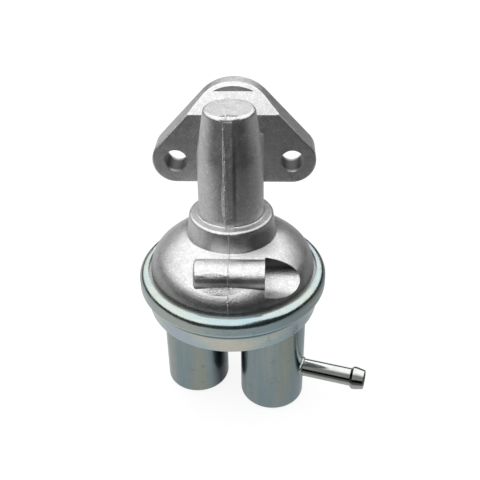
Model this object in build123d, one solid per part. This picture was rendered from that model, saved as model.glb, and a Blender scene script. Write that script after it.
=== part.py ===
from build123d import *
import os
from math import cos, radians, sin, tan

# A lever-driven diaphragm fuel pump: a die-cast body with a bolted flange, over a steel cover
# that is rolled round the body's rim and carries two fuel cups.
#
# The pieces are drawn in the pump's own frame, in millimetres. Z runs up the diaphragm's axis,
# Z = 0 lies at the widest of the rolled rim, and +Y points to the engine. At the end they are
# moved together, so that the origin is midway between the two bolt holes on the mounting face.

# Mounting flange
face_to_axis = 38.3
rim_to_bolts = 42.5
bolt_spacing = 50.8
bolt_hole_r = 5.15
lobe_r = 10.4
apex_r = 18.8
apex_rise = 15.1
flange_t = 12.9
apex_t = 8.0
shoulder_rise = 21.4
apex_face_rise = 30.1
flange_edge_r = 0.9
apex_bevel = 1.5

# Rolled rim of the steel cover
rim_r = 40.0
sheet = 1.2
roll_top_r = 3.2
roll_foot_r = 1.8
lip_width = 3.8
shelf_low = -2.0
band_step = 2.6
band_taper = 0.9
bowl_depth = 10.2
bowl_corner_r = 1.6
band_bend_r = 0.7

# Fuel cups and their connections
cup_r = 14.4
cup_offset = 18.4
cup_turn = 15.6
cup_depth = 50.2
cup_corner_r = 2.4
nipple_drop = 32.8
nipple_r = 3.95
nipple_reach = 28.3
nipple_bore_r = 2.7
nipple_orifice_r = 0.8
nipple_orifice_t = 2.0
nipple_inside = 0.8
barb_r = 5.0
barb_end_r = 4.3
barb_length = 6.3
barb_rise = 1.2
barb_edge = 0.4
port_drop = 24.0
port_r = 8.5
port_length = 13.0
port_thread_r = 5.7
port_thread_length = 9.5
port_relief_r = 6.1
port_relief_length = 2.4
port_edge = 0.5
port_bore_r = 3.2

# Cast body: rim, dome, collar and tower
rim_t = 4.8
rim_clearance = 0.1
dome_step = 5.1
dome_shoulder_r = 12.5
dome_shoulder_turn = 47.0
collar_foot_r = 18.4
collar_foot_z = 23.4
collar_top_r = 17.3
collar_top_z = 32.6
tower_foot_r = 13.4
tower_waist_r = 13.15
tower_waist_z = 58.7
tower_bend_r = 25.0
tower_top_r = 10.1
tower_top_z = 77.6
tower_edge_r = 1.5
wall = 3.5
dome_upright = 1.0
collar_foot_fillet_r = 1.2
collar_edge_r = 1.3
tower_foot_fillet_r = 0.7
ridge_w = 3.4
ridge_h = 0.5

# Breather boss on the front of the dome
boss_r = 6.1
boss_back = 24.5
boss_z = 18.0
boss_left = 13.8
boss_right = 14.2
boss_edge_r = 1.4
boss_pocket_r = 8.3
boss_pocket_drop = 1.0
boss_core_half = 3.0
boss_core_h = 8.3
breather_r = 1.6

# Arm housing between the tower and the flange
housing_half = 11.2
housing_top = 60.5
housing_flare_r = 3.2
housing_flare_sink = 0.2
housing_flare_drop = 1.0
housing_slope = 3.0
housing_roof_r = 4.0
housing_foot_drop = 4.0
pin_boss_r = 7.4
pin_boss_out = 0.6
pin_blind_t = 1.2

# Lever motion: the arm turns on the pin and lifts the pull rod
pin_back = 20.0
pin_r = 3.175
pin_recess = 0.8
pin_edge = 0.5
arm_swing = 10.0
tip_reach = 52.0
running = 0.05

# Rocker arm and its bushing
eye_r = 7.2
eye_half = 7.8
side_play = 0.3
arm_play = 0.8
chamber_bulge = 2.1
chamber_corner_r = 1.5
bushing_t = 1.25
arm_half = 4.5
fork_half = 5.0
pad_r = 3.0
arm_height = 8.6
arm_tip_height = 6.4
tip_pad_half = 7.0
tip_pad_length = 15.0
tip_pad_t = 5.5
tip_pad_corner_r = 3.0
tip_crown_r = 28.0
tip_rise = 4.0
fork_root_back = 6.0
fork_root_drop = 2.5
flute_depth = 1.3
flute_w = 3.9
flute_end = 5.0

# Arm return spring in the tower
return_spring_r = 8.0
return_wire = 1.8
return_turns = 4
spring_seat_t = 3.0
spring_seat_drop = 1.8
spring_seat_edge = 0.3
return_roof_z = 66.0
tower_core_r = 6.0

# Pull rod, its seal and the diaphragm spring
rod_r = 2.9
rod_neck_r = 1.9
rod_head_h = 3.0
rod_head_edge = 0.8
slot_play = 0.2
slot_end = 0.6
lost_motion = 5.0
lift_clearance = 0.1
shank_r = 2.0
rod_collar_r = 4.6
rod_collar_t = 1.5
rivet_r = 3.4
rivet_h = 1.2
guide_length = 8.0
seal_r = 7.0
seal_h = 6.3
seal_recess = 0.3
seal_wall = 2.4
seal_lip_h = 0.8
retainer_t = 0.8
retainer_gap = 0.3
spring_pocket_z = 26.0
diaphragm_spring_r = 13.5
diaphragm_wire = 2.0
diaphragm_turns = 4
spring_pocket_gap = 0.7
pocket_edge = 2.0

# Diaphragm and its plates
diaphragm_t = 1.0
plate_t = 1.0
plate_margin = 18.5
upper_plate_lip = 2.2
lower_plate_step = 1.0
lower_plate_lip = 1.4
plate_flare = 0.6
rivet_washer_r = 6.5
rivet_washer_t = 0.8
flex_clear = 3.0
flex_margin = 0.7
flex_depth = 2.2
flex_edge = 0.4
flex_bend_r = 1.3
plate_bend_r = 1.6

# Valves, pressed into the cover's floor over the cups
valve_r = 7.9
valve_flange_r = 9.8
valve_flange_t = 1.0
valve_length = 3.4
valve_plate_t = 1.6
valve_seat_wall = 0.9
valve_gasket_t = 0.5
valve_disc_r = 6.4
valve_disc_t = 1.0
valve_lift = 1.2
valve_spring_solid = 1.4
valve_spring_r = 2.4
valve_wire = 0.4
valve_turns = 3
stem_r = 1.0
stem_head_r = 3.0
stem_head_t = 0.6
flow_hole_r = 1.3
flow_circle_r = 3.6
flow_holes = 6
stem_rivet_r = 1.7
stem_rivet_t = 0.5
small_gap = 0.02
cut_over = 1.0

# Heights and places that follow from the sizes above
bolt_z = rim_to_bolts
flange_front = face_to_axis - flange_t
apex_front = face_to_axis - apex_t
shelf_top = shelf_low + sheet
clamp_z = shelf_top + diaphragm_t
rim_top = clamp_z + rim_t
roll_inner_r = rim_r - sheet
lip_r = rim_r - lip_width
band_top_r = rim_r - band_step
band_foot_r = band_top_r - band_taper
dome_r = rim_r - dome_step
upper_plate_r = rim_r - plate_margin
lower_plate_r = upper_plate_r - lower_plate_step
flex_inner_r = upper_plate_r + flex_clear
flex_outer_r = dome_r - flex_margin
floor_low = shelf_low - bowl_depth
floor_top = floor_low + sheet
cup_foot = floor_low - cup_depth
pin_z = bolt_z
half_swing = arm_swing / 2
lift = 2 * pin_back * sin(radians(half_swing))
pad_z = pin_z - lift / 2
head_low = pad_z + pad_r + lift_clearance
fabric_top = shelf_top + diaphragm_t - lift / 2
fabric_low = fabric_top - diaphragm_t
upper_plate_top = fabric_top + plate_t
lower_plate_low = fabric_low - plate_t
stack_low = lower_plate_low - rivet_washer_t
return_seat_z = pad_z + pad_r - spring_seat_drop
seal_top = spring_pocket_z + seal_recess
seal_boss_z = seal_top - seal_h
seal_boss_r = seal_r + seal_wall
pocket_z = boss_z - boss_pocket_drop
chamber_half = eye_half + side_play
chamber_r = chamber_half + chamber_bulge
chamber_floor = seal_top + guide_length
window_low = pin_z - arm_height / 2 - (face_to_axis - pin_back) * tan(radians(half_swing)) - arm_play
chamber_top = pin_z + eye_r + arm_play
return_bore_r = return_spring_r + arm_play
spring_pocket_r = diaphragm_spring_r + spring_pocket_gap
mouth_r = flex_outer_r - flex_edge
valve_spring_h = valve_lift + valve_spring_solid
place = Pos(0, -face_to_axis, -rim_to_bolts)


def cup_place(side):
    """Centre line of a cup: side is +1 for the outlet on the right, -1 for the inlet."""
    turn = radians(cup_turn)
    return Pos(side * cup_offset * cos(turn), -side * cup_offset * sin(turn), 0)


def turned(outline):
    """Solid of revolution about Z from a closed outline drawn as radius and height."""
    return revolve(Plane.XZ * outline, Axis.Z)


def corner_rounded(face, *corners):
    """The face with some corners rounded, each given as a point and a radius."""
    for point, radius in corners:
        corner = face.vertices().sort_by_distance((point[0], point[1], 0))[0]
        face = fillet(corner, radius)
    return face


def ring(inner_r, outer_r, low, high):
    """Plain ring about Z between two heights."""
    full = Cylinder(outer_r, high - low, align=(Align.CENTER, Align.CENTER, Align.MIN))
    hole = Cylinder(inner_r, high - low, align=(Align.CENTER, Align.CENTER, Align.MIN))
    return Pos(0, 0, low) * (full - hole)


def disc(radius, low, high):
    """Plain cylinder about Z between two heights."""
    return Pos(0, 0, low) * Cylinder(radius, high - low, align=(Align.CENTER, Align.CENTER, Align.MIN))


def cross_bar(radius, left, right, y, z):
    """Cylinder that lies along X."""
    bar = Cylinder(radius, right - left, rotation=(0, 90, 0), align=(Align.CENTER, Align.CENTER, Align.MIN))
    return Pos(left, y, z) * bar


def pressed_sheet(path, thickness, side):
    """Sheet-metal shell of revolution: an open path of one face, thickened to one side."""
    outline = offset(path, amount=thickness, side=side, closed=True)
    return turned(make_face(outline))


def coil(mean_r, wire, low, high, turns):
    """Compression spring with a closed, ground coil at each end."""
    wire_r = wire / 2
    ground = 0.2 * wire
    closed_pitch = 1.04 * wire
    start = low + ground
    end = high - ground
    first = Pos(0, 0, start) * Helix(closed_pitch, closed_pitch, mean_r)
    active_height = end - start - 2 * closed_pitch
    active = Pos(0, 0, start + closed_pitch) * Helix(active_height / turns, active_height, mean_r)
    last = Pos(0, 0, end - closed_pitch) * Helix(closed_pitch, closed_pitch, mean_r)
    path = Wire([first.edge(), active.edge(), last.edge()])
    section = Plane(origin=path @ 0, z_dir=path % 0) * Circle(wire_r)
    spring = sweep(section, path=path, is_frenet=True)
    under = disc(mean_r + wire, low - wire, low)
    over = disc(mean_r + wire, high, high + wire)
    return spring - under - over


def dome_curve(foot_r, shoulder_r, end):
    """Side of the dome from the rim up: upright, round the shoulder, then a flatter crown."""
    rise = Line((foot_r, rim_top), (foot_r, rim_top + dome_upright))
    shoulder = JernArc(rise @ 1, (0, 1), shoulder_r, dome_shoulder_turn)
    crown = TangentArc(shoulder @ 1, end, tangent=shoulder % 1)
    return [rise, shoulder, crown]


def body_shell():
    """Outside of the rim, dome, collar and tower, turned about the pump axis."""
    rim_outer = roll_inner_r - rim_clearance
    dome = dome_curve(dome_r, dome_shoulder_r, (collar_foot_r, collar_foot_z))
    foot = Polyline((0, clamp_z), (rim_outer, clamp_z), (rim_outer, rim_top), (dome_r, rim_top))
    top = Polyline(
        (collar_foot_r, collar_foot_z),
        (collar_top_r, collar_top_z),
        (tower_foot_r, collar_top_z),
        (tower_waist_r, tower_waist_z),
        (tower_top_r, tower_top_z),
        (0, tower_top_z),
    )
    outline = make_face([*foot.edges(), *dome, *top.edges(), Line((0, tower_top_z), (0, clamp_z))])
    outline = corner_rounded(
        outline,
        ((rim_outer, rim_top), roll_top_r - sheet),
        ((collar_foot_r, collar_foot_z), collar_foot_fillet_r),
        ((collar_top_r, collar_top_z), collar_edge_r),
        ((tower_foot_r, collar_top_z), tower_foot_fillet_r),
        ((tower_waist_r, tower_waist_z), tower_bend_r),
        ((tower_top_r, tower_top_z), tower_edge_r),
    )
    return turned(outline)


def parting_ridge():
    """Ground-down flash of the two die halves, up the front of the tower."""
    foot = collar_top_z - wall
    top = tower_top_z - tower_edge_r
    front = Polyline(
        (0, foot),
        (-tower_foot_r - ridge_h, foot),
        (-tower_foot_r - ridge_h, collar_top_z),
        (-tower_waist_r - ridge_h, tower_waist_z),
        (-tower_top_r - ridge_h, top),
        (0, top),
        close=True,
    )
    return extrude(Plane.YZ * make_face(front), ridge_w / 2, both=True)


def flange():
    """Mounting flange: two bolt lobes and a bevelled apex, thinner above a sloping shoulder."""
    half = bolt_spacing / 2
    lobes = [Pos(x, bolt_z) * Circle(lobe_r).edge() for x in (-half, half)]
    apex = Pos(0, bolt_z + apex_rise) * Circle(apex_r).edge()
    front_view = Plane((0, face_to_axis, 0), x_dir=(1, 0, 0), z_dir=(0, -1, 0))
    plate = extrude(front_view * make_hull([*lobes, apex]), flange_t)
    over = bolt_z + apex_rise + apex_r + cut_over
    slope_low = bolt_z + shoulder_rise
    slope_high = bolt_z + apex_face_rise
    relief = Polyline(
        (flange_front - cut_over, slope_low),
        (flange_front, slope_low),
        (apex_front, slope_high),
        (apex_front, over),
        (flange_front - cut_over, over),
        close=True,
    )
    plate -= extrude(Plane.YZ * make_face(relief), bolt_spacing, both=True)
    apex_edges = [
        edge
        for edge in plate.edges().filter_by(GeomType.CIRCLE)
        if abs((edge @ 0.5).Y - apex_front) < small_gap and (edge @ 0.5).Z > slope_high
    ]
    plate = chamfer(apex_edges, apex_bevel)
    front_edges = [edge for edge in plate.edges() if (edge @ 0.5).Y < apex_front - small_gap]
    outline = [edge for edge in front_edges if (edge @ 0.5).Z > bolt_z - lobe_r + small_gap]
    outline = [edge for edge in outline if abs((edge @ 0).Y - (edge @ 1).Y) < flange_t - apex_t + small_gap]
    bottom = plate.edges().filter_by(Axis.X).group_by(Axis.Z)[0].sort_by(Axis.Y)[0]
    return fillet([*outline, bottom], flange_edge_r)


def housing_flare(side):
    """Concave web where one side of the neck runs out into the flange."""
    inside = housing_half - housing_flare_sink
    behind = flange_front + housing_flare_sink
    reach = housing_flare_r * sin(radians(45))
    curve = ThreePointArc(
        (inside, behind - housing_flare_r),
        (inside + housing_flare_r - reach, behind - housing_flare_r + reach),
        (inside + housing_flare_r, behind),
    )
    rest = Polyline(curve @ 1, (inside + housing_flare_r, behind + wall), (inside - cut_over, behind + wall))
    back = Polyline(rest @ 1, (inside - cut_over, behind - housing_flare_r), curve @ 0)
    low = bolt_z - lobe_r + flange_edge_r
    high = housing_top - housing_roof_r - housing_flare_drop
    web = Pos(0, 0, low) * extrude(make_face([curve, *rest.edges(), *back.edges()]), high - low)
    return web if side > 0 else mirror(web, about=Plane.YZ)


def arm_housing():
    """Hollow neck from the tower to the flange, cut to its side view, with rounded roof edges."""
    span = (flange_front + face_to_axis) / 2
    flange_low = bolt_z - lobe_r
    foot_low = collar_foot_z - housing_foot_drop
    roof_low = housing_top - housing_slope
    side = Polyline(
        (0, foot_low),
        (collar_foot_r, foot_low),
        (flange_front, flange_low),
        (span, flange_low),
        (span, housing_top),
        (flange_front, housing_top),
        (tower_foot_r, roof_low),
        (0, roof_low),
        close=True,
    )
    neck = extrude(Plane.YZ * make_face(side), housing_half, both=True)
    long_edges = [e for e in neck.edges().filter_by(Plane.YZ) if e.length > housing_slope]
    neck = fillet([e for e in long_edges if e.center().Z > roof_low - 0.01], housing_roof_r)
    out = housing_half + pin_boss_out
    bosses = cross_bar(pin_boss_r, -out, out, pin_back, pin_z)
    return neck + bosses + housing_flare(1) + housing_flare(-1)


def breather_boss():
    """Sideways boss on the front of the dome, with its left-hand end rounded off."""
    outline = Polyline((0, -boss_left), (boss_r, -boss_left), (boss_r, boss_right), (0, boss_right), close=True)
    boss = turned(corner_rounded(make_face(outline), ((boss_r, -boss_left), boss_edge_r)))
    return Pos(0, -boss_back, boss_z) * Rot(0, 90, 0) * boss


def diaphragm_cavity():
    """Space over the diaphragm, with the spring pocket round the seal's boss."""
    inner_foot = dome_r - wall
    end = (spring_pocket_r + pocket_edge, boss_z)
    dome = dome_curve(inner_foot, dome_shoulder_r - wall, end)
    below = clamp_z - cut_over
    mouth = Polyline((mouth_r, below), (mouth_r, clamp_z), (inner_foot, rim_top))
    roof = Polyline(
        end,
        (spring_pocket_r, boss_z),
        (spring_pocket_r, spring_pocket_z),
        (seal_boss_r, spring_pocket_z),
        (seal_boss_r, seal_boss_z),
        (seal_r, seal_boss_z),
        (seal_r, seal_top),
        (0, seal_top),
        (0, below),
        (mouth_r, below),
    )
    space = turned(make_face([*mouth.edges(), *dome, *roof.edges()]))
    backing = cross_bar(boss_pocket_r + wall, boss_right - wall, rim_r, -boss_back, pocket_z)
    return space - backing


def arm_chamber():
    """Oil-side space for the arm: under the tower, through the housing and out at the flange."""
    height = chamber_top - chamber_floor
    under_tower = disc(chamber_r, chamber_floor, chamber_top)
    taper = Pos(0, 0, chamber_top) * Cone(
        chamber_r, return_bore_r, chamber_r - return_bore_r, align=(Align.CENTER, Align.CENTER, Align.MIN)
    )
    bore = disc(return_bore_r, chamber_top, return_roof_z)
    core = disc(tower_core_r, return_roof_z, tower_top_z - wall)
    section = Pos(0, chamber_floor + height / 2) * RectangleRounded(2 * chamber_half, height, chamber_corner_r)
    gallery = extrude(Plane.XZ * section, -(pin_back + eye_r + arm_play))
    window_h = chamber_top - window_low
    opening = Pos(0, window_low + window_h / 2) * RectangleRounded(2 * chamber_half, window_h, chamber_corner_r)
    window = extrude(Plane.XZ * opening, -(face_to_axis + cut_over))
    return under_tower + taper + bore + core + gallery + window


def body_casting():
    """Die-cast body with its machined bores."""
    out = housing_half + pin_boss_out + cut_over
    neck = arm_housing() - cross_bar(pin_r, -(housing_half - pin_blind_t), out, pin_back, pin_z)
    plate = flange()
    for x in (-bolt_spacing / 2, bolt_spacing / 2):
        plate -= Pos(x, face_to_axis, bolt_z) * Cylinder(bolt_hole_r, 4 * flange_t, rotation=(90, 0, 0))
    dome = body_shell() + parting_ridge() + breather_boss()
    dome -= cross_bar(boss_pocket_r, boss_right, rim_r, -boss_back, pocket_z)
    dome -= Pos(0, -boss_back, boss_z - boss_r) * Box(
        2 * boss_core_half, 2 * boss_core_half, boss_core_h, align=(Align.CENTER, Align.CENTER, Align.MIN)
    )
    dome -= cross_bar(breather_r, 0, boss_right + cut_over, -boss_back, boss_z)
    rod_bore = disc(rod_r + running, seal_top - cut_over, chamber_floor + cut_over)
    hollow = [diaphragm_cavity(), arm_chamber(), rod_bore]
    dome, neck, plate = [solid - hollow for solid in (dome, neck, plate)]
    return dome + neck + plate


def rocker_arm():
    """Forged arm: fork and spring seat inside, eye on the pin, long lever to the tip."""
    at_pin = Pos(0, pin_back, pin_z)
    eye = cross_bar(eye_r, -eye_half, eye_half, 0, 0)
    root = Pos(-fork_root_back, -fork_root_drop) * Circle(eye_r / 2)
    fork_outline = make_hull([root.edge(), Pos(-pin_back, 0) * Circle(pad_r).edge()])
    fork = extrude(Plane.YZ * fork_outline, fork_half, both=True)
    grip = tip_reach - tip_pad_length / 2
    lever_outline = Polyline(
        (0, -arm_height / 2),
        (grip, -arm_tip_height / 2),
        (tip_reach + tip_pad_length / 4, tip_rise - tip_pad_t),
        (tip_reach, tip_rise - tip_pad_t / 4),
        (grip, arm_tip_height / 2),
        (0, arm_height / 2),
        close=True,
    )
    lever = extrude(Plane.YZ * make_face(lever_outline), arm_half, both=True)
    flute_start = pin_r + 2 * flute_end
    flute_stop = grip - flute_end
    flute = Pos((flute_start + flute_stop) / 2, 0) * SlotOverall(flute_stop - flute_start, flute_w)
    for side in (-1, 1):
        plane = Plane((side * arm_half, 0, 0), x_dir=(0, 1, 0), z_dir=(1, 0, 0))
        lever -= extrude(plane * flute, -side * flute_depth)
    pad = Pos(0, tip_reach, tip_rise - tip_pad_t / 2) * Box(2 * tip_pad_half, tip_pad_length, tip_pad_t)
    pad = fillet(pad.edges().filter_by(Axis.Z), tip_pad_corner_r)
    crown = cross_bar(tip_crown_r, -tip_pad_half, tip_pad_half, tip_reach, tip_rise - tip_crown_r)
    arm = eye + fork + lever + (pad & crown)
    arm = at_pin * Rot(half_swing, 0, 0) * arm

    seat = disc(return_spring_r + spring_seat_edge, return_seat_z - spring_seat_t, return_seat_z)
    seat &= Pos(0, 0, return_seat_z) * Box(2 * (eye_half - slot_play), 3 * return_spring_r, 3 * spring_seat_t)
    spring_inner = return_spring_r - return_wire - spring_seat_edge
    arm -= ring(spring_inner, return_spring_r + 2 * spring_seat_edge, return_seat_z, chamber_top)
    arm += seat
    slot_half = rod_neck_r + slot_play
    slot_length = 2 * return_spring_r
    slot = Pos(0, slot_end - slot_length / 2, pad_z) * Box(2 * slot_half, slot_length, 6 * pad_r)
    arm -= slot + Pos(0, slot_end, pad_z) * Cylinder(slot_half, 6 * pad_r)
    arm -= cross_bar(pin_r + running + bushing_t, -eye_half - 1, eye_half + 1, pin_back, pin_z)
    return arm


def arm_bushing():
    """Bronze bushing pressed into the arm's eye."""
    outer = cross_bar(pin_r + running + bushing_t, -eye_half, eye_half, pin_back, pin_z)
    return outer - cross_bar(pin_r + running, -eye_half, eye_half, pin_back, pin_z)


def pivot_pin():
    """Hard pin pressed in from the right, against the blind end of its bore."""
    right = housing_half + pin_boss_out - pin_recess
    pin = cross_bar(pin_r, -(housing_half - pin_blind_t), right, pin_back, pin_z)
    return chamfer(pin.edges().filter_by(GeomType.CIRCLE), pin_edge)


def arm_return_spring():
    """Spring in the tower that presses the fork down and the tip up."""
    mean_r = return_spring_r - return_wire / 2
    return coil(mean_r, return_wire, return_seat_z, return_roof_z, return_turns)


def pull_rod():
    """Turned rod: necked under its head for the fork, shouldered and riveted at the diaphragm."""
    neck_low = head_low - 2 * pad_r - lost_motion
    collar_top = upper_plate_top + rod_collar_t
    outline = Polyline(
        (0, stack_low - rivet_h),
        (shank_r, stack_low - rivet_h),
        (rivet_r, stack_low - rivet_h / 3),
        (rivet_r, stack_low),
        (shank_r, stack_low),
        (shank_r, upper_plate_top),
        (rod_collar_r, upper_plate_top),
        (rod_collar_r, collar_top),
        (rod_r, collar_top),
        (rod_r, neck_low - rod_head_edge),
        (rod_neck_r, neck_low),
        (rod_neck_r, head_low),
        (rod_r, head_low),
        (rod_r, head_low + rod_head_h - rod_head_edge),
        (rod_r - rod_head_edge, head_low + rod_head_h),
        (0, head_low + rod_head_h),
        close=True,
    )
    return turned(make_face(outline))


def rod_seal():
    """Rubber seal that keeps engine oil off the diaphragm: two lips on the rod."""
    rod_side = rod_r + running
    middle = (seal_boss_z + seal_top) / 2
    relief = (seal_r + rod_side) / 2
    outline = Polyline(
        (seal_r, seal_boss_z),
        (seal_r, seal_top),
        (rod_side, seal_top),
        (rod_side, seal_top - seal_lip_h),
        (relief, middle + seal_lip_h),
        (relief, middle - seal_lip_h),
        (rod_side, seal_boss_z + 2 * seal_lip_h),
        (rod_side, seal_boss_z + seal_lip_h),
        (relief, seal_boss_z),
        close=True,
    )
    return turned(make_face(outline))


def seal_retainer():
    """Steel hat round the seal's boss, held up by the diaphragm spring."""
    brim_r = spring_pocket_r - retainer_gap
    hole_r = rod_r + 2 * retainer_gap
    inside_r = seal_boss_r + small_gap
    outside_r = inside_r + retainer_t
    hat = Polyline(
        (hole_r, seal_boss_z - retainer_t),
        (outside_r, seal_boss_z - retainer_t),
        (outside_r, spring_pocket_z - retainer_t),
        (brim_r, spring_pocket_z - retainer_t),
        (brim_r, spring_pocket_z),
        (inside_r, spring_pocket_z),
        (inside_r, seal_boss_z),
        (hole_r, seal_boss_z),
        close=True,
    )
    return turned(make_face(hat))


def diaphragm_spring():
    """Spring that drives the pressure stroke, from the retainer down to the upper plate."""
    mean_r = diaphragm_spring_r - diaphragm_wire / 2
    return coil(mean_r, diaphragm_wire, upper_plate_top, spring_pocket_z - retainer_t, diaphragm_turns)


def upper_plate():
    """Steel plate over the diaphragm, with its edge turned up."""
    path = FilletPolyline(
        (shank_r, fabric_top),
        (upper_plate_r, fabric_top),
        (upper_plate_r + plate_flare, fabric_top + upper_plate_lip),
        radius=plate_bend_r,
    )
    return pressed_sheet(path, plate_t, Side.LEFT)


def lower_plate():
    """Steel plate under the diaphragm, with its edge turned down."""
    path = FilletPolyline(
        (shank_r, fabric_low),
        (lower_plate_r, fabric_low),
        (lower_plate_r + plate_flare, fabric_low - lower_plate_lip - plate_t),
        radius=plate_bend_r,
    )
    return pressed_sheet(path, plate_t, Side.RIGHT)


def diaphragm():
    """Rubbered fabric with one loop between its plates and its clamped rim."""
    run = (flex_outer_r - flex_inner_r) / 4
    path = FilletPolyline(
        (shank_r, fabric_low),
        (flex_inner_r, fabric_low),
        (flex_inner_r + run, fabric_low - flex_depth),
        (flex_outer_r - run, fabric_low - flex_depth),
        (flex_outer_r, shelf_top),
        (rim_r - roll_foot_r - rim_clearance, shelf_top),
        radius=flex_bend_r,
    )
    return pressed_sheet(path, diaphragm_t, Side.LEFT)


def rivet_washer():
    """Washer between the lower plate and the riveted end of the rod."""
    return ring(shank_r, rivet_washer_r, stack_low, lower_plate_low)


def lower_cover():
    """Drawn steel bowl whose edge is rolled round the diaphragm and the body's rim."""
    outer = FilletPolyline(
        (0, floor_low),
        (band_foot_r, floor_low),
        (band_top_r, shelf_low),
        (rim_r, shelf_low),
        (rim_r, rim_top + sheet),
        (lip_r, rim_top + sheet),
        radius=(bowl_corner_r, band_bend_r, roll_foot_r, roll_top_r),
    )
    cover = pressed_sheet(outer, sheet, Side.LEFT)
    for side in (-1, 1):
        cover -= cup_place(side) * disc(valve_r, floor_low - cut_over, floor_top + cut_over)
    return cover


def port_direction(side):
    """Place of a threaded port: on the back of its cup, with Z out towards the engine."""
    return cup_place(side) * Pos(0, 0, floor_low - port_drop) * Rot(-90, 0, 0)


def nipple_direction():
    """Place of the return nipple: outward along the line of the cups, with Z out."""
    outward = Rot(0, 0, -cup_turn) * Rot(0, 90, 0)
    return cup_place(1) * Pos(0, 0, floor_low - nipple_drop) * outward


def plain_cup(side):
    """Deep-drawn can, brazed end-on under the cover's floor, with its port hole."""
    path = FilletPolyline(
        (0, cup_foot),
        (cup_r, cup_foot),
        (cup_r, floor_low),
        radius=cup_corner_r,
    )
    can = cup_place(side) * pressed_sheet(path, sheet, Side.LEFT)
    return can - port_direction(side) * disc(port_bore_r, 0, cup_r + cut_over)


def inlet_cup():
    """Left-hand cup."""
    return plain_cup(-1)


def outlet_cup():
    """Right-hand cup, with the hole for the return nipple."""
    return plain_cup(1) - nipple_direction() * disc(nipple_r, 0, cup_r + cut_over)


def return_nipple():
    """Vapour return nipple with a hose barb and a small orifice at its root."""
    root = cup_r - sheet - nipple_inside
    end = cup_r + nipple_reach
    barb = end - barb_length
    orifice_end = root + nipple_orifice_t
    outline = Polyline(
        (nipple_orifice_r, root),
        (nipple_r, root),
        (nipple_r, barb),
        (barb_r, barb + barb_rise),
        (barb_r, barb + 2 * barb_rise),
        (barb_end_r, end - barb_edge),
        (barb_end_r - barb_edge, end),
        (nipple_bore_r, end),
        (nipple_bore_r, orifice_end),
        (nipple_orifice_r, orifice_end),
        close=True,
    )
    return nipple_direction() * turned(make_face(outline))


def port_fitting(side):
    """Turned port, coped to the cup and brazed on: thread bore, flare seat and passage."""
    end = cup_r + port_length
    thread_end = end - port_thread_length
    relief_end = thread_end - port_relief_length
    seat_tip = thread_end - port_edge
    outline = Polyline(
        (port_bore_r, 0),
        (port_r, 0),
        (port_r, end - port_edge),
        (port_r - port_edge, end),
        (port_thread_r + port_edge, end),
        (port_thread_r, end - port_edge),
        (port_thread_r, thread_end),
        (port_relief_r, thread_end),
        (port_relief_r, relief_end),
        (port_thread_r, relief_end),
        (port_bore_r + port_edge, seat_tip),
        (port_bore_r, seat_tip),
        close=True,
    )
    fitting = port_direction(side) * turned(make_face(outline))
    return fitting - cup_place(side) * disc(cup_r, cup_foot, floor_low)


def valve_body(side):
    """Valve seat turned from brass: +1 opens down into its cup, -1 opens up out of it."""
    top = floor_top + valve_gasket_t + valve_flange_t
    low = top - valve_flange_t - valve_length
    body = disc(valve_r - small_gap, low, top) + disc(valve_flange_r, top - valve_flange_t, top)
    face = valve_face(side)
    recess_r = valve_r - valve_seat_wall
    if side > 0:
        body -= disc(recess_r, low, face)
        plate_low, plate_high = face, top
    else:
        body -= disc(recess_r, face, top)
        plate_low, plate_high = low, face
    body -= disc(stem_r, plate_low, plate_high)
    for spot in PolarLocations(flow_circle_r, flow_holes):
        body -= spot * disc(flow_hole_r, plate_low, plate_high)
    return cup_place(side) * body


def valve_face(side):
    """Height of the face that the valve disc closes on."""
    top = floor_top + valve_gasket_t + valve_flange_t
    low = top - valve_flange_t - valve_length
    return top - valve_plate_t if side > 0 else low + valve_plate_t


def valve_local(side):
    """Place of the moving valve parts: the face at Z = 0, with Z the way that the disc lifts."""
    turn = Rot(180, 0, 0) if side > 0 else Rot(0, 0, 0)
    return cup_place(side) * Pos(0, 0, valve_face(side)) * turn


def valve_gasket(side):
    """Fibre ring under the flange of a valve."""
    return cup_place(side) * ring(valve_r, valve_flange_r, floor_top, floor_top + valve_gasket_t)


def valve_disc(side):
    """Flat rubber disc that slides on the stem."""
    return valve_local(side) * ring(stem_r + running, valve_disc_r, 0, valve_disc_t)


def valve_spring(side):
    """Small spring between the disc and the stem's head."""
    mean_r = valve_spring_r - valve_wire / 2
    return valve_local(side) * coil(mean_r, valve_wire, valve_disc_t, valve_disc_t + valve_spring_h, valve_turns)


def valve_stem(side):
    """Riveted stem that guides the disc and carries the spring."""
    head = valve_disc_t + valve_spring_h
    foot = -valve_plate_t - stem_rivet_t
    stem = disc(stem_r, foot, head)
    stem += disc(stem_head_r, head, head + stem_head_t)
    stem += disc(stem_rivet_r, foot, -valve_plate_t)
    return valve_local(side) * stem


pieces = {
    "body_casting": body_casting(),
    "rocker_arm": rocker_arm(),
    "arm_bushing": arm_bushing(),
    "pivot_pin": pivot_pin(),
    "arm_return_spring": arm_return_spring(),
    "pull_rod": pull_rod(),
    "rod_seal": rod_seal(),
    "seal_retainer": seal_retainer(),
    "diaphragm_spring": diaphragm_spring(),
    "upper_plate": upper_plate(),
    "diaphragm": diaphragm(),
    "lower_plate": lower_plate(),
    "rivet_washer": rivet_washer(),
    "lower_cover": lower_cover(),
    "inlet_cup": inlet_cup(),
    "outlet_cup": outlet_cup(),
    "return_nipple": return_nipple(),
}
for side, name in ((-1, "inlet"), (1, "outlet")):
    pieces[f"{name}_port"] = port_fitting(side)
    pieces[f"{name}_valve_seat"] = valve_body(side)
    pieces[f"{name}_valve_gasket"] = valve_gasket(side)
    pieces[f"{name}_valve_disc"] = valve_disc(side)
    pieces[f"{name}_valve_spring"] = valve_spring(side)
    pieces[f"{name}_valve_stem"] = valve_stem(side)

os.makedirs("parts", exist_ok=True)
for name, piece in pieces.items():
    export_step(place * piece, f"parts/{name}.step")
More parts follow.
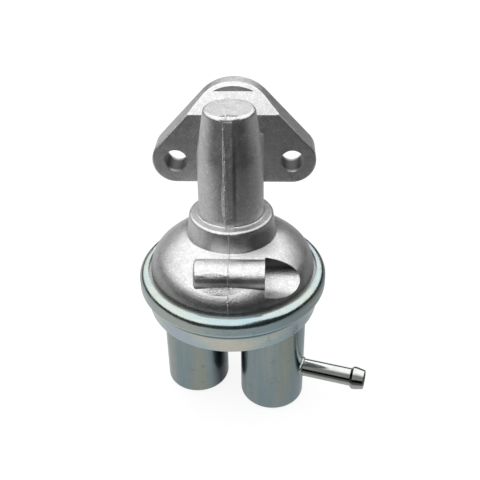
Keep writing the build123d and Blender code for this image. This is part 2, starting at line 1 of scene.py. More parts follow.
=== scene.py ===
"""A lever-driven diaphragm fuel pump in a plain studio.

The solids of the pump come from the frame. This script gives each of them its finish, adds
what the foundry, the press and the thread cutter leave on them, and lights the whole.
"""
import math

import bmesh
import bpy
import numpy as np
from mathutils import Matrix, Vector


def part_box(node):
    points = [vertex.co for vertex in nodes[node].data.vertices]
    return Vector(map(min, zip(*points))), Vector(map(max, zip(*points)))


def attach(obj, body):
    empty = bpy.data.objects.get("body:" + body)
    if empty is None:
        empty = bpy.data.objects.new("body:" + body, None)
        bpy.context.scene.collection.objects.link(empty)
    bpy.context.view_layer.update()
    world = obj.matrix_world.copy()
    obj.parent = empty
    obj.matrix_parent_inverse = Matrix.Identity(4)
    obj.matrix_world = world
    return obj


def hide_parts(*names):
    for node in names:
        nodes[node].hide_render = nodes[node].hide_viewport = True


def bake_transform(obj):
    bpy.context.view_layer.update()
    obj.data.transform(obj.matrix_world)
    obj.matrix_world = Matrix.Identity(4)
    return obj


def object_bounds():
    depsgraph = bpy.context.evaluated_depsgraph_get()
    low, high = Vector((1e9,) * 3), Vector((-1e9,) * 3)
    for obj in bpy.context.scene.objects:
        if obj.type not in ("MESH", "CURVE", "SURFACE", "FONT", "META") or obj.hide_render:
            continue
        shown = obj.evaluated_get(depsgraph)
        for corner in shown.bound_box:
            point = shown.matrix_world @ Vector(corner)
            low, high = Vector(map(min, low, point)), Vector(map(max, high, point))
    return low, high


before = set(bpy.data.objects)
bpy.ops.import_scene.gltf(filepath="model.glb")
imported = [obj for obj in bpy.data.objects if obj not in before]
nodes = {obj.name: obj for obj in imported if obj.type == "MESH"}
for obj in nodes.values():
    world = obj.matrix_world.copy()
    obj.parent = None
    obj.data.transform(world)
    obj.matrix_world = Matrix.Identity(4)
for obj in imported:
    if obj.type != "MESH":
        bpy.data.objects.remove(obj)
cad_low, cad_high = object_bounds()

# The pump's own axis: the tower, dome, rim and diaphragm all turn about this upright line,
# which stands in front of the mounting face.
mm = 0.001
cover_low, cover_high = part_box("lower_cover")
axis_x = (cover_low.x + cover_high.x) / 2
axis_y = (cover_low.y + cover_high.y) / 2


# Die-cast body.
# Aluminium, cast in two die halves that meet in the plane through the tower, then shot-blasted,
# which leaves a fine bright grain that is rougher where the two halves met.
def new_material(name):
    """An empty node material with its Principled shader and output joined."""
    material = bpy.data.materials.new(name)
    material.use_nodes = True
    tree = material.node_tree
    tree.nodes.clear()
    output = tree.nodes.new("ShaderNodeOutputMaterial")
    shader = tree.nodes.new("ShaderNodeBsdfPrincipled")
    tree.links.new(shader.outputs["BSDF"], output.inputs["Surface"])
    return material, tree, shader


def place_of(tree, scale=(1, 1, 1), centre=(0, 0, 0)):
    """Object coordinates, moved so that centre is at zero and stretched by scale."""
    coordinates = tree.nodes.new("ShaderNodeTexCoord")
    mapping = tree.nodes.new("ShaderNodeMapping")
    mapping.vector_type = "POINT"
    mapping.inputs["Scale"].default_value = scale
    mapping.inputs["Location"].default_value = [-c * s for c, s in zip(centre, scale)]
    tree.links.new(coordinates.outputs["Object"], mapping.inputs["Vector"])
    return mapping.outputs["Vector"]


def noise(tree, place, size, detail=2.0, roughness=0.5):
    """Cloudy pattern from 0 to 1 whose lumps are about size metres across."""
    node = tree.nodes.new("ShaderNodeTexNoise")
    node.inputs["Scale"].default_value = 1 / size
    node.inputs["Detail"].default_value = detail
    node.inputs["Roughness"].default_value = roughness
    tree.links.new(place, node.inputs["Vector"])
    return node.outputs["Fac"]


def spread(tree, value, low, high, to_low=0.0, to_high=1.0):
    """The value between low and high stretched to between to_low and to_high, and no further."""
    node = tree.nodes.new("ShaderNodeMapRange")
    node.clamp = True
    for name, number in (("From Min", low), ("From Max", high), ("To Min", to_low), ("To Max", to_high)):
        node.inputs[name].default_value = number
    tree.links.new(value, node.inputs["Value"])
    return node.outputs["Result"]


def calc(tree, operation, first, second):
    """Result of one arithmetic operation on two values, each a socket or a number."""
    node = tree.nodes.new("ShaderNodeMath")
    node.operation = operation
    for socket, value in zip(node.inputs, (first, second)):
        if isinstance(value, (int, float)):
            socket.default_value = value
        else:
            tree.links.new(value, socket)
    return node.outputs[0]


def blend_colours(tree, factor, first, second, way="MIX"):
    """Colour between first and second by factor; each is a socket or three numbers."""
    node = tree.nodes.new("ShaderNodeMix")
    node.data_type = "RGBA"
    node.blend_type = way
    node.clamp_factor = True
    for socket, value in ((node.inputs["Factor"], factor), (node.inputs[6], first), (node.inputs[7], second)):
        if isinstance(value, (int, float)):
            socket.default_value = value
        elif isinstance(value, tuple):
            socket.default_value = (*value, 1)
        else:
            tree.links.new(value, socket)
    return node.outputs[2]


def relief(tree, shader, *layers):
    """Bump from several (height, depth in metres) layers, one on top of the other."""
    normal = None
    for height, depth in layers:
        bump = tree.nodes.new("ShaderNodeBump")
        bump.inputs["Distance"].default_value = depth
        bump.inputs["Strength"].default_value = 1.0
        tree.links.new(height, bump.inputs["Height"])
        if normal:
            tree.links.new(normal, bump.inputs["Normal"])
        normal = bump.outputs["Normal"]
    tree.links.new(normal, shader.inputs["Normal"])


def dress(node, material):
    """Gives a solid of the frame its material."""
    piece = nodes[node]
    piece.data.materials.clear()
    piece.data.materials.append(material)
    return piece


def near(tree, centre, reach, fade=0.45):
    """One inside the egg of half-axes reach about centre, fading to zero in its outer share fade."""
    length = tree.nodes.new("ShaderNodeVectorMath")
    length.operation = "LENGTH"
    tree.links.new(place_of(tree, scale=[1 / r for r in reach], centre=centre), length.inputs[0])
    return spread(tree, length.outputs["Value"], 1.0 - fade, 1.0, 1.0, 0.0)


def cast_metal(name, tone, grain_depth, rough_places=(), painted_shade_places=(), pocket=None):
    """Blasted casting: bright grain over clouds, coarse and bright where the die halves met.

    What faces down is painted darker, as painted shade, and so are the painted shade places and the top of
    the pocket.
    """
    material, tree, shader = new_material(name)
    place = place_of(tree)
    grain = noise(tree, place, 0.62 * mm, 3.0, 0.6)
    mottle = noise(tree, place, 2.6 * mm, 4.0, 0.6)
    clouds = noise(tree, place, 14 * mm, 3.0)
    dark = tuple(0.88 * c for c in tone)
    light = tuple(min(1.0, 1.10 * c) for c in tone)
    colour = blend_colours(tree, spread(tree, mottle, 0.36, 0.64), dark, light)
    colour = blend_colours(tree, spread(tree, clouds, 0.3, 0.7, 0.0, 0.35), colour, tone)
    sparkle = spread(tree, grain, 0.54, 0.68, 0.0, 0.75)
    colour = blend_colours(tree, sparkle, colour, (0.88, 0.88, 0.88))
    # Painted shade: faces turned downwards are darkened, up to three quarters of the way, as if in shade.
    facing = tree.nodes.new("ShaderNodeNewGeometry")
    split = tree.nodes.new("ShaderNodeSeparateXYZ")
    tree.links.new(facing.outputs["Normal"], split.inputs["Vector"])
    shaded = spread(tree, split.outputs["Z"], -0.6, -0.05, 0.75, 0.0)
    # Painted shade at each of the given places.
    for centre, reach, fade, amount in painted_shade_places:
        place_shade = calc(tree, "MULTIPLY", near(tree, centre, reach, fade), amount)
        shaded = calc(tree, "MAXIMUM", shaded, place_shade)
    # Painted shade inside the boss pocket: the other shade is lifted there, and the colour darkens towards
    # the pocket's top.
    if pocket:
        left_x, (low_z, high_z), axis_at, reach = pocket
        place_axes = tree.nodes.new("ShaderNodeSeparateXYZ")
        tree.links.new(place, place_axes.inputs["Vector"])
        inside = calc(tree, "GREATER_THAN", place_axes.outputs["X"], left_x)
        inside = calc(tree, "MULTIPLY", inside, near(tree, axis_at, reach, 0.02))
        outside = calc(tree, "SUBTRACT", 1.0, inside)
        roof = calc(tree, "MULTIPLY", inside, spread(tree, place_axes.outputs["Z"], low_z, high_z, 0.0, 0.97))
        shaded = calc(tree, "MAXIMUM", calc(tree, "MULTIPLY", shaded, outside), roof)
    # Painted shade: where the shade mask is full, the colour falls to a tenth of the tone.
    colour = blend_colours(tree, shaded, colour, tuple(0.10 * c for c in tone))
    layers = [(mottle, 0.022 * mm), (grain, grain_depth)]
    if rough_places:
        coarse = noise(tree, place, 0.7 * mm, 4.0, 0.7)
        rough = 0.0
        for centre, reach in rough_places:
            rough = calc(tree, "MAXIMUM", rough, near(tree, centre, reach))
        specks = calc(tree, "MULTIPLY", rough, spread(tree, coarse, 0.50, 0.60))
        colour = blend_colours(tree, specks, colour, (0.95, 0.95, 0.95))
        layers.append((calc(tree, "MULTIPLY", rough, coarse), 0.5 * mm))
    tree.links.new(colour, shader.inputs["Base Color"])
    tree.links.new(spread(tree, mottle, 0.3, 0.7, 0.29, 0.36), shader.inputs["Roughness"])
    shader.inputs["Metallic"].default_value = 0.95
    relief(tree, shader, *layers)
    return material


casting_tone = (0.54, 0.54, 0.54)
rough_places = (
    ((-1.7 * mm, -52 * mm, 2 * mm), (1.3 * mm, 2.5 * mm, 11 * mm)),
    ((-1.6 * mm, -51 * mm, 14 * mm), (0.7 * mm, 3.5 * mm, 30 * mm)),
    ((-3 * mm, -68 * mm, -27.5 * mm), (8 * mm, 4.0 * mm, 2.2 * mm)),
    ((-6 * mm, -67.5 * mm, -21.4 * mm), (7 * mm, 3 * mm, 1.2 * mm)),
    ((0.5 * mm, -47.5 * mm, 35 * mm), (4 * mm, 2.5 * mm, 1.5 * mm)),
)
bolt_hole_x = 25.4 * mm
# Painted shade: darker places in the bolt holes, to the right of the tower's parting line, round the lower
# dome, on the boss, on the right of the collar and the tower, and below the boss pocket.
painted_shade_places = (
    ((-bolt_hole_x, -6.4 * mm, 0), (9.5 * mm, 7.6 * mm, 9.5 * mm), 0.25, 0.97),
    ((bolt_hole_x, -6.4 * mm, 0), (9.5 * mm, 7.6 * mm, 9.5 * mm), 0.25, 0.97),
    ((2.2 * mm, -51.5 * mm, 10 * mm), (1.1 * mm, 4 * mm, 28 * mm), 0.8, 0.6),
    ((0, 0, -35.5 * mm), (500 * mm, 500 * mm, 7 * mm), 0.6, 0.45),
    ((0, -67.8 * mm, -24.9 * mm), (15 * mm, 3.4 * mm, 3.4 * mm), 0.5, 0.6),
    ((13 * mm, -52 * mm, -15.5 * mm), (17 * mm, 12 * mm, 7 * mm), 0.6, 0.75),
    ((26 * mm, -62 * mm, -33 * mm), (20 * mm, 16 * mm, 7 * mm), 0.6, 0.6),
    ((9 * mm, -49 * mm, 8 * mm), (7 * mm, 8 * mm, 26 * mm), 0.7, 0.4),
)
# Painted shade: the boss pocket, whose top is darkened in colour.
pocket_centre = (24 * mm, -62.8 * mm, -25.5 * mm)
pocket_reach = (60 * mm, 8.62 * mm, 8.62 * mm)
pocket = (14.1 * mm, (-30.0 * mm, -27.0 * mm), pocket_centre, pocket_reach)
casting_finish = cast_metal("blasted_aluminium", casting_tone, 0.12 * mm, rough_places, painted_shade_places, pocket)
dress("body_casting", casting_finish)


# Parting line of the casting.
# Where the die halves met, a thin lumpy fringe of metal squeezed out. It was filed off only
# roughly, so it still runs down the front of the tower, collar, boss and dome.
def bead(name, line, across, outward, half_width, height, closed=False):
    """Bead along a line of points.

    Each station is an egg about its point, as wide as half_width both ways along across and as
    high as height both ways along outward. An open bead is closed by a flat face at each end.
    """
    sides = 10
    count = len(line)
    turn = 2 * np.pi * np.arange(sides) / sides
    wide = np.broadcast_to(half_width, count)[:, None, None] * across[:, None, :]
    high = np.broadcast_to(height, count)[:, None, None] * outward[:, None, :]
    points = line[:, None, :] + np.cos(turn)[None, :, None] * wide + np.sin(turn)[None, :, None] * high
    station, side = np.meshgrid(np.arange(count if closed else count - 1), np.arange(sides), indexing="ij")
    following, beside = (station + 1) % count, (side + 1) % sides
    corners = [
        station * sides + side, station * sides + beside,
        following * sides + beside, following * sides + side,
    ]
    faces = np.stack(corners, axis=-1).reshape(-1, 4).tolist()
    if not closed:
        faces += [list(range(sides))[::-1], list(range((count - 1) * sides, count * sides))]
    mesh = bpy.data.meshes.new(name)
    mesh.from_pydata(points.reshape(-1, 3).tolist(), [], faces)
    along = line[1] - line[0]
    if np.dot(np.cross(across[0], outward[0]), along) < 0:
        mesh.flip_normals()
    mesh.polygons.foreach_set("use_smooth", np.ones(len(mesh.polygons), dtype=bool))
    mesh.update()
    piece = bpy.data.objects.new(name, mesh)
    bpy.context.scene.collection.objects.link(piece)
    return piece


def along_points(points, step):
    """Points spaced by step along straight runs from each given point to the next."""
    points = np.array(points, dtype=float)
    length = np.concatenate([[0], np.cumsum(np.linalg.norm(np.diff(points, axis=0), axis=1))])
    stops = np.linspace(0, length[-1], int(length[-1] / step) + 1)
    return np.stack([np.interp(stops, length, points[:, i]) for i in range(3)], axis=1)


def lumps(count, run, generator):
    """Random sizes from 0.4 to 1.6 about one, each eased into the next over run stations."""
    coarse = generator.uniform(0.4, 1.6, count // run + 3)
    return np.interp(np.arange(count) / run, np.arange(len(coarse)), coarse)


def fringe(name, x, front_points, half_width, height, generator):
    """Lumpy bead in the upright plane at x through (y, z) points, thinning out at both ends."""
    line = along_points([(x, y * mm, z * mm) for y, z in front_points], 0.18 * mm)
    count = len(line)
    heading = np.gradient(line, axis=0)
    heading /= np.linalg.norm(heading, axis=1)[:, None]
    across = np.tile([1.0, 0.0, 0.0], (count, 1))
    outward = np.cross(heading, across)
    ends = np.clip(np.minimum(np.arange(count), np.arange(count)[::-1]) / 6, 0.25, 1)
    line[:, 0] += 0.12 * mm * (lumps(count, 7, generator) - 1)
    piece = bead(
        name, line, across, outward,
        half_width * ends * lumps(count, 3, generator),
        height * ends * lumps(count, 2, generator),
    )
    piece.data.materials.append(fringe_finish)
    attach(piece, "body")
    return piece


fringe_finish = cast_metal("torn_aluminium", (0.56, 0.56, 0.56), 0.06 * mm)
chance = np.random.default_rng(7)
tower_front = ((-51.95, -9.4), (-51.85, 16.2), (-48.8, 33.6))
fringe("tower_fringe", -1.65 * mm, tower_front, 0.24 * mm, 0.24 * mm, chance)
fringe("tower_fringe_torn", -1.45 * mm, ((-52.2, -4.5), (-52.15, 10.0)), 0.40 * mm, 0.34 * mm, chance)
tower_top = ((-49.0, 33.6), (-48.5, 34.6), (-47.6, 35.05), (-43.2, 35.12))
fringe("tower_top_fringe", -0.9 * mm, tower_top, 0.28 * mm, 0.22 * mm, chance)
fringe("tower_top_stub", -1.2 * mm, ((-39.5, 35.1), (-33.5, 35.1)), 0.32 * mm, 0.30 * mm, chance)
collar_front = (
    (-52.4, -9.9), (-54.2, -9.9), (-54.9, -9.95), (-55.4, -10.3), (-55.75, -11.0), (-56.2, -14.5),
    (-56.5, -17.9), (-56.75, -18.8), (-57.2, -19.3), (-58.2, -19.8), (-59.9, -19.1), (-61.3, -18.6),
    (-62.5, -18.4), (-63.9, -18.5), (-65.2, -18.9), (-66.3, -19.5), (-67.2, -20.3), (-68.0, -21.3),
    (-68.5, -22.4), (-68.8, -23.8), (-68.9, -24.6), (-68.8, -25.5), (-68.6, -26.7), (-69.4, -27.5),
    (-70.6, -28.8), (-71.3, -29.8), (-71.9, -30.9), (-72.4, -32.1), (-72.8, -33.4), (-73.1, -35.2),
    (-73.2, -37.0),
)
fringe("dome_fringe", -0.1 * mm, collar_front, 0.20 * mm, 0.32 * mm, chance)
flange_apex = ((-8.0, 30.6), (-8.0, 32.3), (-6.1, 33.85), (-0.6, 33.9))
fringe("flange_fringe", 0.3 * mm, flange_apex, 0.12 * mm, 0.12 * mm, chance)


# Steel cover, cups and ports.
# Drawn from sheet, brazed together and zinc-plated with a clear blue passivate, which turns from
# blue to straw with its thickness and keeps the streaks of the draw and a few dull stains.
def plated_metal(name, streak, shade, centre=(0, 0, 0), painted_patches=()):
    """Zinc plate: blue to straw clouds, streaks stretched along streak, dull stains, and painted reflections
    and painted shade laid on at given places.
    """
    material, tree, shader = new_material(name)
    place = place_of(tree, centre=centre)
    tint = noise(tree, place_of(tree, scale=streak, centre=centre), 17 * mm, 2.0)
    lines = noise(tree, place_of(tree, scale=streak, centre=centre), 1.1 * mm, 3.0, 0.6)
    haze = noise(tree, place, 7 * mm, 4.0, 0.6)
    stain = noise(tree, place, 5 * mm, 5.0, 0.7)
    blue, straw, line_tone, stain_tone = [
        tuple(shade * c for c in tone)
        for tone in ((0.28, 0.37, 0.40), (0.38, 0.41, 0.36), (0.22, 0.28, 0.30), (0.14, 0.16, 0.17))
    ]
    colour = blend_colours(tree, spread(tree, tint, 0.40, 0.60), blue, straw)
    colour = blend_colours(tree, spread(tree, lines, 0.35, 0.70, 0.0, 0.35), colour, line_tone)
    colour = blend_colours(tree, spread(tree, stain, 0.60, 0.72, 0.0, 0.6), colour, stain_tone)
    # Painted light: painted reflections and painted shade, each blended over the plate's colour inside its
    # egg.
    for at, reach, fade, tone, amount in painted_patches:
        painted_patch = calc(tree, "MULTIPLY", near(tree, at, reach, fade), amount)
        colour = blend_colours(tree, painted_patch, colour, tone)
    tree.links.new(colour, shader.inputs["Base Color"])
    haze_dull = spread(tree, haze, 0.35, 0.7, 0.17, 0.26)
    line_dull = spread(tree, lines, 0.4, 0.7, 0.0, 0.06)
    dull = calc(tree, "ADD", haze_dull, line_dull)
    tree.links.new(dull, shader.inputs["Roughness"])
    shader.inputs["Metallic"].default_value = 1.0
    relief(tree, shader, (haze, 0.05 * mm), (lines, 0.006 * mm))
    return material


far = 500 * mm
# Painted reflections: a straw spot on the front of the bowl, a lavender one to its left and a blue one to its
# right. Painted shade: a darker band round the rolled rim that dims its highlight, and a thin dark line of
# painted shadow on the bowl just under the roll.
cover_painted_reflections_and_shade = (
    ((1 * mm, -76 * mm, -51 * mm), (13 * mm, 14 * mm, 6 * mm), 0.45, (0.60, 0.58, 0.50), 0.8),
    ((-22 * mm, -68 * mm, -50 * mm), (12 * mm, 14 * mm, 6 * mm), 0.45, (0.42, 0.48, 0.56), 0.8),
    ((27 * mm, -66 * mm, -50 * mm), (8 * mm, 14 * mm, 6 * mm), 0.45, (0.42, 0.50, 0.53), 0.7),
    ((0, 0, -37 * mm), (far, far, 7 * mm), 0.2, (0.22, 0.26, 0.26), 0.42),
    ((0, 0, -46.1 * mm), (far, far, 1.1 * mm), 0.6, (0.10, 0.13, 0.14), 0.85),
)
# Painted shade: the cups are darkened where they face each other, standing in for the dark each mirrors of
# the other.
cup_painted_shade = (
    ((-2 * mm, -38 * mm, -80 * mm), (9 * mm, 60 * mm, 90 * mm), 0.45, (0.02, 0.03, 0.04), 0.93),
)
cover_finish = plated_metal("zinc_plated_cover", (0.5, 0.5, 3.0), 1.45, (axis_x, axis_y, 0), cover_painted_reflections_and_shade)
cup_finish = plated_metal("zinc_plated_cup", (2.0, 2.0, 0.12), 0.90, (0, 0, 0), cup_painted_shade)
dress("lower_cover", cover_finish)
for name in ("inlet_cup", "outlet_cup", "inlet_port", "outlet_port", "upper_plate", "lower_plate"):
    dress(name, cup_finish)


# Vapour return nipple.
# Turned from steel bar, bright-plated and polished, with faint rings left by the tool.
def bright_metal(name, tone, roughness, ring_size, along, painted_dark_reflection=0.0):
    """Polished metal: faint tool rings along one axis, a trace of haze, and, when asked, a painted dark
    reflection on its upward slopes.
    """
    material, tree, shader = new_material(name)
    place = place_of(tree)
    rings = noise(tree, place_of(tree, scale=along), ring_size, 2.0)
    haze = noise(tree, place, 3 * mm, 3.0)
    colour = blend_colours(tree, spread(tree, haze, 0.35, 0.7), tone, tuple(0.86 * c for c in tone))
    # Painted reflection: faces sloping upwards are darkened, as if mirroring the dim room.
    if painted_dark_reflection:
        facing = tree.nodes.new("ShaderNodeNewGeometry")
        split = tree.nodes.new("ShaderNodeSeparateXYZ")
        tree.links.new(facing.outputs["Normal"], split.inputs["Vector"])
        upward = split.outputs["Z"]
        sloping = calc(tree, "MULTIPLY", spread(tree, upward, -0.05, 0.15), spread(tree, upward, 0.93, 0.80))
        colour = blend_colours(tree, calc(tree, "MULTIPLY", sloping, painted_dark_reflection), colour, (0.02, 0.025, 0.02))
    tree.links.new(colour, shader.inputs["Base Color"])
    tree.links.new(spread(tree, haze, 0.3, 0.7, roughness, 1.6 * roughness), shader.inputs["Roughness"])
    shader.inputs["Metallic"].default_value = 1.0
    relief(tree, shader, (rings, 0.004 * mm))
    return material


# The nipple carries the painted dark reflection on its upward slopes.
nipple_finish = bright_metal("bright_plated_steel", (0.54, 0.55, 0.53), 0.08, 0.5 * mm, (1, 0.1, 0.1), 0.85)
dress("return_nipple", nipple_finish)


# Brazing and threads.
# The cups are brazed to the bowl, and the ports and the nipple to the cups, which leaves a narrow
# smooth bead all round each joint. The ports are threaded for flared tube nuts.
def ring_bead(name, line, across, outward, half_width, height, material):
    """Closed bead on the body, smooth, in its material."""
    piece = bead(name, line, across, outward, half_width, height, closed=True)
    piece.data.materials.append(material)
    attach(piece, "body")
    return piece


def saddle(centre, heading, side, cup_r, tube_r, turns):
    """Line where a level tube meets an upright cup.

    At each turn about the tube the point lies tube_r off the tube's line, and as far out along
    heading as the cup's circle is at that sideways distance.
    """
    sideways = tube_r * np.sin(turns)
    out = np.sqrt(cup_r ** 2 - sideways ** 2)
    radial = np.sin(turns)[:, None] * side + np.cos(turns)[:, None] * np.array([0, 0, 1.0])
    return centre + out[:, None] * heading + tube_r * radial, radial


braze_finish = bright_metal("plated_braze", (0.44, 0.47, 0.45), 0.20, 1.5 * mm, (1, 1, 1))
cup_r = 14.4 * mm
bowl_floor_z = cover_low.z
ring_stations = 160
turns = 2 * np.pi * np.arange(ring_stations) / ring_stations
backwards, sideways = np.array([0, 1.0, 0]), np.array([1.0, 0, 0])
thread_pitch, thread_r, thread_length = 1.27 * mm, 5.70 * mm, 9.0 * mm
thread_inset = 0.6 * mm
thread_stations = 380
for name in ("inlet", "outlet"):
    cup_low, cup_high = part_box(f"{name}_cup")
    cup_centre = np.array([(cup_low.x + cup_high.x) / 2, (cup_low.y + cup_high.y) / 2, bowl_floor_z])
    radial = np.stack([np.cos(turns), np.sin(turns), 0 * turns], axis=1)
    upright = np.tile([0.0, 0.0, 1.0], (len(turns), 1))
    line = cup_centre + cup_r * radial
    ring_bead(f"{name}_cup_braze", line, radial, upright, 0.75 * mm, 0.65 * mm, braze_finish)

    port_low, port_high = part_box(f"{name}_port")
    port_r = (port_high.z - port_low.z) / 2
    port_centre = cup_centre * (1, 1, 0) + (0, 0, (port_low.z + port_high.z) / 2)
    line, radial = saddle(port_centre, backwards, sideways, cup_r, port_r, turns)
    heading = np.tile(backwards, (len(turns), 1))
    ring_bead(f"{name}_port_braze", line, radial, heading, 0.8 * mm, 0.8 * mm, braze_finish)

    about = np.linspace(0, 2 * np.pi * thread_length / thread_pitch, thread_stations)
    inward = np.stack([-np.sin(about), 0 * about, -np.cos(about)], axis=1)
    depth = port_high.y - thread_inset - thread_pitch * about / (2 * np.pi)
    line = port_centre * (1, 0, 1) - thread_r * inward
    line[:, 1] = depth
    along_port = np.tile(backwards, (thread_stations, 1))
    thread = bead(f"{name}_port_thread", line, along_port, inward, 0.48 * mm, 0.38 * mm)
    thread.data.materials.append(cup_finish)
    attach(thread, "body")

nipple_turn = math.radians(15.6)
nipple_r = 3.95 * mm
nipple_heading = np.array([math.cos(nipple_turn), -math.sin(nipple_turn), 0])
nipple_side = np.array([math.sin(nipple_turn), math.cos(nipple_turn), 0])
nipple_low, nipple_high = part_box("return_nipple")
nipple_centre = cup_centre * (1, 1, 0) + (0, 0, (nipple_low.z + nipple_high.z) / 2)
line, radial = saddle(nipple_centre, nipple_heading, nipple_side, cup_r, nipple_r, turns)
heading = np.tile(nipple_heading, (len(turns), 1))
ring_bead("nipple_braze", line, radial, heading, 0.7 * mm, 0.9 * mm, braze_finish)


# Rocker arm, its bushing and pin.
# The arm is forged and hardened, then oiled, with its tip pad ground; the bushing is bronze and
# the pin ground bar.
forged_finish = cast_metal("oiled_forging", (0.17, 0.165, 0.16), 0.07 * mm)
pin_finish = bright_metal("ground_steel", (0.48, 0.48, 0.47), 0.16, 0.4 * mm, (1, 0.1, 0.1))
bronze_finish = bright_metal("bearing_bronze", (0.55, 0.36, 0.17), 0.28, 0.4 * mm, (1, 0.1, 0.1))
dress("rocker_arm", forged_finish)
dress("arm_bushing", bronze_finish)
dress("pivot_pin", pin_finish)


# Springs, pull rod and the small steel parts inside.
# Springs are drawn wire, the rod is turned, the retainer and the washer are stamped.
wire_finish = bright_metal("drawn_spring_wire", (0.34, 0.35, 0.37), 0.24, 0.3 * mm, (1, 1, 1))
stamped_finish = bright_metal("stamped_steel", (0.44, 0.44, 0.44), 0.30, 0.6 * mm, (1, 1, 0.2))


def live_spring(node):
    """Copy of a spring's solid, welded where its points lie doubled and dressed in drawn wire; the solid
    itself is hidden.
    """
    mesh = nodes[node].data.copy()
    weld_distance = 1e-7
    welded = bmesh.new()
    welded.from_mesh(mesh)
    bmesh.ops.remove_doubles(welded, verts=welded.verts, dist=weld_distance)
    welded.to_mesh(mesh)
    welded.free()
    piece = bpy.data.objects.new(f"{node}_live", mesh)
    bpy.context.scene.collection.objects.link(piece)
    mesh.materials.clear()
    mesh.materials.append(wire_finish)
    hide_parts(node)
    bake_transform(piece)
    return piece


live_spring("arm_return_spring")
live_spring("diaphragm_spring")
dress("pull_rod", pin_finish)
dress("seal_retainer", stamped_finish)
dress("rivet_washer", stamped_finish)


# Valves.
# Seats and stems are turned brass, each seat on a ring of vulcanised fibre.
brass_finish = bright_metal("turned_brass", (0.62, 0.47, 0.22), 0.22, 0.3 * mm, (0.1, 0.1, 1))


def soft_part(name, tone, roughness, weave):
    """Rubber or fibre: matt, slightly cloudy, with a fine tooth of size weave."""
    material, tree, shader = new_material(name)
    place = place_of(tree)
    tooth = noise(tree, place, weave, 3.0, 0.6)
    clouds = noise(tree, place, 5 * mm, 3.0)
    colour = blend_colours(tree, spread(tree, clouds, 0.3, 0.7), tone, tuple(1.35 * c for c in tone))
    tree.links.new(colour, shader.inputs["Base Color"])
    tree.links.new(spread(tree, clouds, 0.3, 0.7, roughness, roughness + 0.12), shader.inputs["Roughness"])
    relief(tree, shader, (tooth, 0.04 * mm))
    return material


rubber_finish = soft_part("oil_proof_rubber", (0.022, 0.022, 0.023), 0.5, 0.5 * mm)
cloth_finish = soft_part("rubbered_cloth", (0.030, 0.030, 0.033), 0.62, 0.35 * mm)
fibre_finish = soft_part("vulcanised_fibre", (0.30, 0.15, 0.08), 0.6, 0.3 * mm)
for side in ("inlet", "outlet"):
    dress(f"{side}_valve_seat", brass_finish)
    dress(f"{side}_valve_stem", brass_finish)
    dress(f"{side}_valve_gasket", fibre_finish)
    dress(f"{side}_valve_disc", rubber_finish)
    live_spring(f"{side}_valve_spring")
dress("rod_seal", rubber_finish)
dress("diaphragm", cloth_finish)


# Studio.
# A wide white sheet under two wide soft lights, in a dim room. A little in front of the pump the
# sheet is dark in the metal's mirror, as in the photograph: the upright faces mirror the dark
# there, and all that slopes upwards is bright. To the right the sheet is dimmer in the mirror too.
floor_z = cad_low.z
floor_half = 4.0
dark_up_to_y, bright_from_y = -0.185, -0.150
bright_up_to_x, dim_from_x, dim_share = 0.01, 0.14, 0.30
floor_mesh = bpy.data.meshes.new("floor")
floor_mesh.from_pydata(
    [(-floor_half, -floor_half, floor_z), (floor_half, -floor_half, floor_z),
     (floor_half, floor_half, floor_z), (-floor_half, floor_half, floor_z)],
    [],
    [(0, 1, 2, 3)],
)
floor = bpy.data.objects.new("floor", floor_mesh)
bpy.context.scene.collection.objects.link(floor)
paper = bpy.data.materials.new("white_sheet")
paper.use_nodes = True
tree = paper.node_tree
tree.nodes.clear()
output = tree.nodes.new("ShaderNodeOutputMaterial")
matt = tree.nodes.new("ShaderNodeBsdfDiffuse")
glow = tree.nodes.new("ShaderNodeEmission")
rays = tree.nodes.new("ShaderNodeLightPath")
split = tree.nodes.new("ShaderNodeSeparateXYZ")
tree.links.new(place_of(tree), split.inputs["Vector"])
behind = spread(tree, split.outputs["Y"], dark_up_to_y, bright_from_y)
leftward = spread(tree, split.outputs["X"], dim_from_x, bright_up_to_x, dim_share, 1.0)
paper_tone = blend_colours(tree, behind, (0.02, 0.02, 0.02), (0.15, 0.15, 0.15))
tree.links.new(paper_tone, matt.inputs["Color"])
seen_glow = calc(tree, "MULTIPLY", rays.outputs["Is Camera Ray"], spread(tree, behind, 0, 1, 1.0, 0.86))
mirrored = calc(tree, "MAXIMUM", rays.outputs["Is Glossy Ray"], rays.outputs["Is Transmission Ray"])
mirror_glow = calc(tree, "MULTIPLY", leftward, spread(tree, behind, 0, 1, 0.02, 0.55))
mirror_glow = calc(tree, "MULTIPLY", mirrored, mirror_glow)
tree.links.new(calc(tree, "ADD", seen_glow, mirror_glow), glow.inputs["Strength"])
both = tree.nodes.new("ShaderNodeAddShader")
tree.links.new(matt.outputs[0], both.inputs[0])
tree.links.new(glow.outputs[0], both.inputs[1])
tree.links.new(both.outputs[0], output.inputs["Surface"])
floor_mesh.materials.append(paper)

world = bpy.data.worlds.new("dim_room")
world.use_nodes = True
tree = world.node_tree
rays = tree.nodes.new("ShaderNodeLightPath")
room_tone = blend_colours(tree, rays.outputs["Is Camera Ray"], (0.03, 0.031, 0.033), (1.0, 1.0, 1.0))
tree.links.new(room_tone, tree.nodes["Background"].inputs["Color"])
bpy.context.scene.world = world


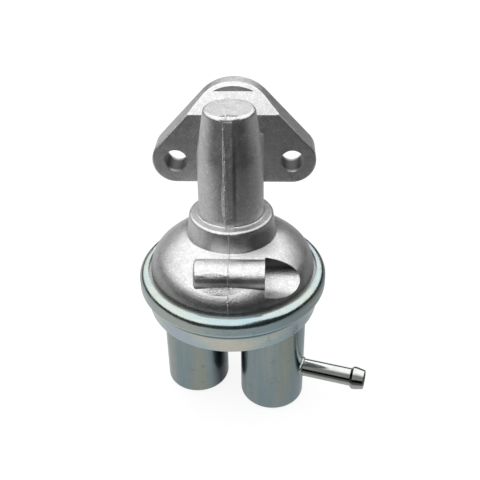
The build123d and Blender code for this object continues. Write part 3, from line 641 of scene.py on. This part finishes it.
def soft_light(name, at, toward, size, power):
    """Soft box, size metres wide and long, at a point, turned to another, of power watts."""
    lamp = bpy.data.lights.new(name, "AREA")
    lamp.shape = "RECTANGLE"
    lamp.size, lamp.size_y = size
    lamp.energy = power
    holder = bpy.data.objects.new(name, lamp)
    holder.location = at
    holder.rotation_mode = "QUATERNION"
    holder.rotation_quaternion = (Vector(toward) - Vector(at)).to_track_quat("-Z", "Y")
    bpy.context.scene.collection.objects.link(holder)
    return holder


soft_light("ceiling", (-0.3, 0.7, 0.8), (-0.3, 0.7, 0), (3.4, 2.6), 50.0)
soft_light("ceiling_front", (-0.80, -1.45, 0.8), (-0.80, -1.45, 0), (2.4, 1.7), 24.5)


# Camera.
# It stands where the photograph was taken from: a little to the right of the front and looking down.
aim = Vector((axis_x, axis_y, -0.0175))
camera_turn = math.radians(3.496)
camera_rise = math.radians(32.073)
camera_roll = math.radians(-1.282)
camera_distance = 0.286635
focal_pixels = 686.868
picture_pixels = 480
shift_pixels = (-8.397, -13.744)
back = Vector((
    math.sin(camera_turn) * math.cos(camera_rise),
    -math.cos(camera_turn) * math.cos(camera_rise),
    math.sin(camera_rise),
))
right = Vector((math.cos(camera_turn), math.sin(camera_turn), 0))
up = back.cross(right)
rolled_right = math.cos(camera_roll) * right + math.sin(camera_roll) * up
rolled_up = -math.sin(camera_roll) * right + math.cos(camera_roll) * up
camera = bpy.data.cameras.new("camera")
camera.sensor_width = 36.0
camera.lens = camera.sensor_width * focal_pixels / picture_pixels
camera.shift_x = -shift_pixels[0] / picture_pixels
camera.shift_y = shift_pixels[1] / picture_pixels
camera.clip_start = 0.01
camera.clip_end = 20.0
tripod = bpy.data.objects.new("camera", camera)
tripod.matrix_world = Matrix.Translation(aim + camera_distance * back) @ Matrix(
    (rolled_right, rolled_up, back)
).transposed().to_4x4()
bpy.context.scene.collection.objects.link(tripod)
bpy.context.scene.camera = tripod
bpy.context.scene.view_settings.view_transform = "Standard"

bpy.context.view_layer.update()
